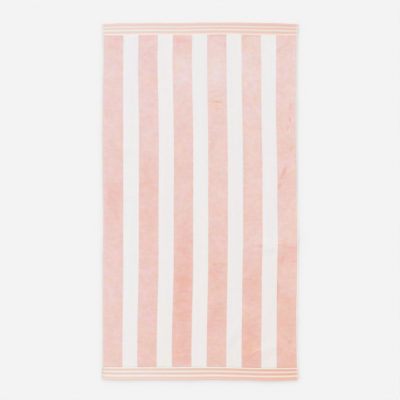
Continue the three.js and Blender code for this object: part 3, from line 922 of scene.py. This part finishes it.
# The pile's outermost tufts: along the borders and selvedges nothing holds the cut pile up from
# outside, so its tufts lean out over the flat weave. They are of the stripes' own yarn.
TUFT_PITCH = 0.0015
TUFT_HIGH = 0.0018
TUFT_FOOT, TUFT_TIP = 0.00062, 0.00040  # radii
TUFT_SUNK = 0.0005  # how deep a tuft's foot is in the pile
TUFT_LEAN = 0.25  # outwards, as a share of its height
TUFT_ROWS = [0.0018, 0.0030]  # from the foot of the pile's edge, inwards
TUFT_PAINTED_LIGHT = 1.22  # painted light: the outer tufts' colour is made lighter, standing in for the light that passes through the thin tufts


def tuft_rows(from_foot):
    """Places and outward directions of one row of tufts round the pile field."""
    side = WIDTH / 2 - PILE_SIDE_FOOT - from_foot
    far = LENGTH / 2 - PILE_FOOT - from_foot
    near = float(near_end_depth(PILE_FOOT + from_foot)) - LENGTH / 2
    down_sides, across_ends = np.arange(near, far, TUFT_PITCH), np.arange(-side, side, TUFT_PITCH)
    rows = []
    for across, outward in ((-side, (-1, 0)), (side, (1, 0))):
        rows.append((np.full_like(down_sides, across), down_sides, outward))
    for along, outward in ((near, (0, -1)), (far, (0, 1))):
        rows.append((across_ends, np.full_like(across_ends, along), outward))
    places = np.concatenate([np.stack([across, along], axis=1) for across, along, _ in rows])
    outwards = np.concatenate([np.tile(outward, (len(across), 1)) for across, _, outward in rows])
    return places, outwards


places, outwards = (np.concatenate(parts) for parts in zip(*map(tuft_rows, TUFT_ROWS)))
places = places + chance.uniform(-0.0004, 0.0004, places.shape)
tuft_tall = chance.uniform(0.7, 1.1, len(places))
tuft_lean = outwards * TUFT_LEAN + chance.uniform(-0.3, 0.3, places.shape)
tuft_turns = np.tile(np.eye(3), (len(places), 1, 1))
tuft_turns[:, :2, 2] = tuft_lean * tuft_tall[:, None]
tuft_turns[:, 2, 2] = tuft_tall
tuft_high = face_height(*places.T) - TUFT_SUNK
tuft_high = np.minimum(tuft_high, PILE_HIGH + 0.0003 - TUFT_HIGH * tuft_tall)
tuft_centres = np.column_stack([places, tuft_high])
tuft = bmesh.new()
bmesh.ops.create_cone(
    tuft, cap_ends=True, segments=4, radius1=TUFT_FOOT, radius2=TUFT_TIP, depth=TUFT_HIGH
)
bmesh.ops.translate(tuft, vec=(0, 0, TUFT_HIGH / 2), verts=tuft.verts)
tuft_mesh = joined_copies("edge_tufts", read_shape(tuft), tuft_centres, tuft_turns)
tuft_finish = velour_finish("velour at the edge", TUFT_PAINTED_LIGHT, combed_relief=False)
edge_tufts = add_piece("edge_tufts", tuft_mesh, [tuft_finish])

# The surface that the towel lies on, plain and pale, and soft light from all round with a
# little more from beyond the far end, so that the near end throws a thin soft shadow.
FLOOR_SIZE = 160.0
FLOOR_GREY = 0.80
floor_sheet = bmesh.new()
bmesh.ops.create_grid(floor_sheet, x_segments=1, y_segments=1, size=FLOOR_SIZE / 2)
floor_mesh = bpy.data.meshes.new("floor")
floor_sheet.to_mesh(floor_mesh)
floor_sheet.free()
paint, _, paint_shader, _ = new_finish("pale floor", 0.9)
paint_shader.inputs["Base Color"].default_value = (FLOOR_GREY, FLOOR_GREY, FLOOR_GREY, 1)
floor_mesh.materials.append(paint)
floor = bpy.data.objects.new("floor", floor_mesh)
bpy.context.collection.objects.link(floor)


def add_soft_light(name, share, from_vertical, from_azimuth, angle):
    """A wide soft light with a share of the floor's light. Azimuth 0 is beyond the far end."""
    light = bpy.data.lights.new(name, "SUN")
    light.energy = share * FLOOR_LIGHT * math.pi / math.cos(math.radians(from_vertical))
    light.angle = math.radians(angle)
    lamp = bpy.data.objects.new(name, light)
    bpy.context.collection.objects.link(lamp)
    lamp.rotation_euler = (-math.radians(from_vertical), 0, -math.radians(from_azimuth))


FLOOR_LIGHT = 1.115
add_soft_light("far_light", 0.080, 72, -6, 24)
add_soft_light("left_light", 0.040, 74, -90, 24)
add_soft_light("right_light", 0.018, 74, 90, 24)
add_soft_light("top_light", 0.142, 8, 30, 60)
world = bpy.data.worlds.new("soft studio")
bpy.context.scene.world = world
world.use_nodes = True
world.node_tree.nodes["Background"].inputs["Color"].default_value = (1, 1, 1, 1)
world.node_tree.nodes["Background"].inputs["Strength"].default_value = 0.72 * FLOOR_LIGHT
bpy.context.scene.view_settings.view_transform = "Standard"

# The camera looks straight down, as the photograph does, with its top towards the far end, and
# stands so high that a pixel of the photograph is a pixel of the render.
PHOTO_SIDE = 400
PIXEL = 0.005042
TOWEL_MIDDLE = (200.1, 201.7)  # of the flat cloth, in the photograph, in pixels
LENS, SENSOR = 85, 36
camera_data = bpy.data.cameras.new("camera")
camera_data.lens = LENS
camera_data.sensor_width = SENSOR
camera = bpy.data.objects.new("camera", camera_data)
bpy.context.collection.objects.link(camera)
camera.location = (
    CLOTH_SHIFT[0] + (PHOTO_SIDE / 2 - TOWEL_MIDDLE[0]) * PIXEL,
    CLOTH_SHIFT[1] + (TOWEL_MIDDLE[1] - PHOTO_SIDE / 2) * PIXEL,
    PHOTO_SIDE * PIXEL * LENS / SENSOR,
)
bpy.context.scene.camera = camera
